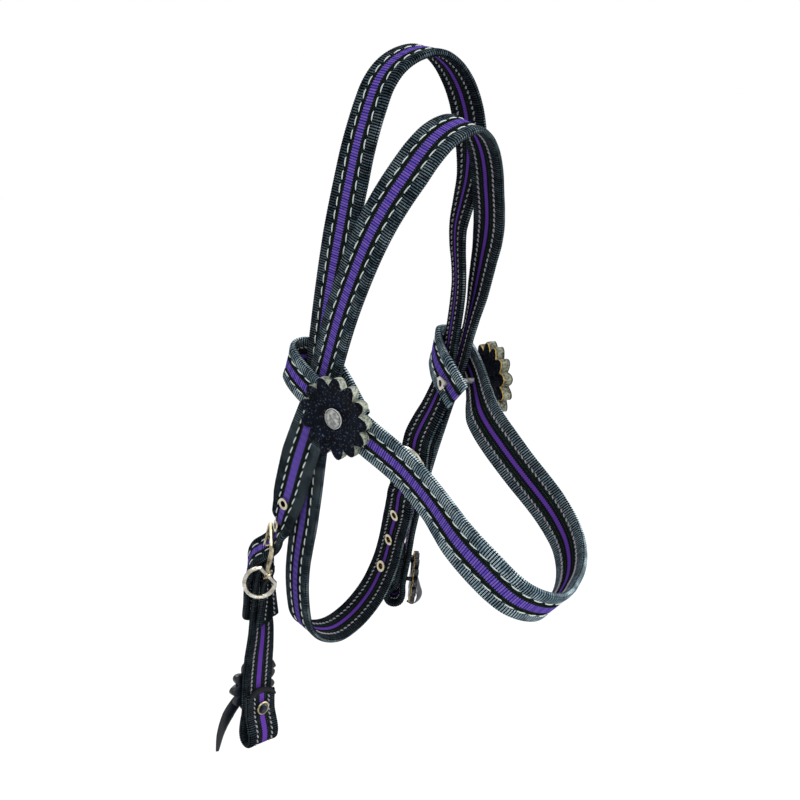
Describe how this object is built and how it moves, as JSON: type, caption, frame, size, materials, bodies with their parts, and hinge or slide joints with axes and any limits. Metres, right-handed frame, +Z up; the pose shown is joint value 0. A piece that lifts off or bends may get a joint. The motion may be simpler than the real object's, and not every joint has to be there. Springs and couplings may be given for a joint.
{
  "type": "racing bridle",
  "caption": "Flat webbing bridle with headpiece, throat strap, browband knotted round the cheeks, rosettes, two prong buckles, a hanging dee and looped bit hangers.",
  "frame": {"origin": "inside face of the headpiece at its highest point over the poll", "axes": "+Z up, -Y towards the front of the horse's head, -X towards the horse's near (left) side"},
  "size_m": [0.1721, 0.2418, 0.4757],
  "materials": {
    "headpiece": "black stitched flat webbing, matte",
    "throat_strap": "black stitched flat webbing, matte",
    "browband": "black stitched flat webbing, matte",
    "bit_hanger": "black stitched flat webbing, matte",
    "cheek_buckle_frame": "worn yellow metal plate",
    "cheek_buckle_prong": "worn yellow metal plate",
    "throat_buckle_frame": "polished nickel plate, lightly worn",
    "throat_buckle_prong": "polished nickel plate, lightly worn",
    "headpiece_eyelet_1": "polished nickel plate, lightly worn",
    "headpiece_eyelet_2": "polished nickel plate, lightly worn",
    "throat_strap_eyelet_1": "polished nickel plate, lightly worn",
    "throat_strap_eyelet_2": "polished nickel plate, lightly worn",
    "throat_strap_eyelet_3": "polished nickel plate, lightly worn",
    "rosette_near": "layered raw-edged leather, tan edge",
    "rosette_far": "layered raw-edged leather, tan edge",
    "rosette_screw_near": "polished nickel plate, lightly worn",
    "rosette_screw_far": "polished nickel plate, lightly worn",
    "rosette_nut_near": "polished nickel plate, lightly worn",
    "rosette_nut_far": "polished nickel plate, lightly worn",
    "bit_rosette_near": "layered raw-edged leather, tan edge",
    "bit_rosette_far": "layered raw-edged leather, tan edge",
    "stud_near": "polished nickel plate, lightly worn",
    "stud_far": "polished nickel plate, lightly worn",
    "tie_near": "dark flat leather strip, slightly worn",
    "tie_far": "dark flat leather strip, slightly worn",
    "dee_link": "worn yellow metal plate",
    "dee_ring": "polished nickel plate, lightly worn"
  },
  "bodies": {
    "bridle": {"headpiece": "headpiece", "throat_strap": "throat_strap", "browband": "browband", "cheek_buckle_frame": "cheek_buckle_frame", "throat_buckle_frame": "throat_buckle_frame", "headpiece_eyelet_1": "headpiece_eyelet_1", "headpiece_eyelet_2": "headpiece_eyelet_2", "throat_strap_eyelet_1": "throat_strap_eyelet_1", "throat_strap_eyelet_2": "throat_strap_eyelet_2", "throat_strap_eyelet_3": "throat_strap_eyelet_3", "rosette_screw_near": "rosette_screw_near", "rosette_screw_far": "rosette_screw_far", "rosette_nut_near": "rosette_nut_near", "rosette_nut_far": "rosette_nut_far", "bit_rosette_far": "bit_rosette_far", "stud_far": "stud_far", "tie_far": "tie_far", "dee_link": "dee_link"},
    "near_hanger": {"bit_hanger": "bit_hanger", "bit_rosette_near": "bit_rosette_near", "stud_near": "stud_near", "tie_near": "tie_near"},
    "cheek_prong": {"cheek_buckle_prong": "cheek_buckle_prong"},
    "throat_prong": {"throat_buckle_prong": "throat_buckle_prong"},
    "dee": {"dee_ring": "dee_ring"},
    "near_rosette": {"rosette_near": "rosette_near"},
    "far_rosette": {"rosette_far": "rosette_far"}
  },
  "joints": [
    {"name": "near_hanger_swing", "type": "hinge", "parent": "bridle", "child": "near_hanger", "pos_m": [-0.06045, 0.1137, -0.282], "axis": [-0.5292, -0.7969, -0.2914], "range_deg": [0, 8]},
    {"name": "cheek_prong_hinge", "type": "hinge", "parent": "bridle", "child": "cheek_prong", "pos_m": [-0.06045, 0.1137, -0.282], "axis": [-0.5292, -0.7969, -0.2914], "range_deg": [0, 8]},
    {"name": "throat_prong_hinge", "type": "hinge", "parent": "bridle", "child": "throat_prong", "pos_m": [0.02725, 0.0672, -0.2247], "axis": [0, -0.9853, -0.1709], "range_deg": [0, 8]},
    {"name": "dee_swing", "type": "hinge", "parent": "bridle", "child": "dee", "pos_m": [-0.07165, 0.0944, -0.28267], "axis": [0.4927, -0.4113, -0.7669], "range_deg": [-20, 20]},
    {"name": "near_rosette_turn", "type": "hinge", "parent": "bridle", "child": "near_rosette", "pos_m": [-0.05858, 0.0318, -0.16102], "axis": [-0.9756, -0.2181, -0.026], "continuous": true},
    {"name": "far_rosette_turn", "type": "hinge", "parent": "bridle", "child": "far_rosette", "pos_m": [0.06145, 0.02949, -0.16103], "axis": [0.94, -0.34, -0.03], "continuous": true}
  ]
}
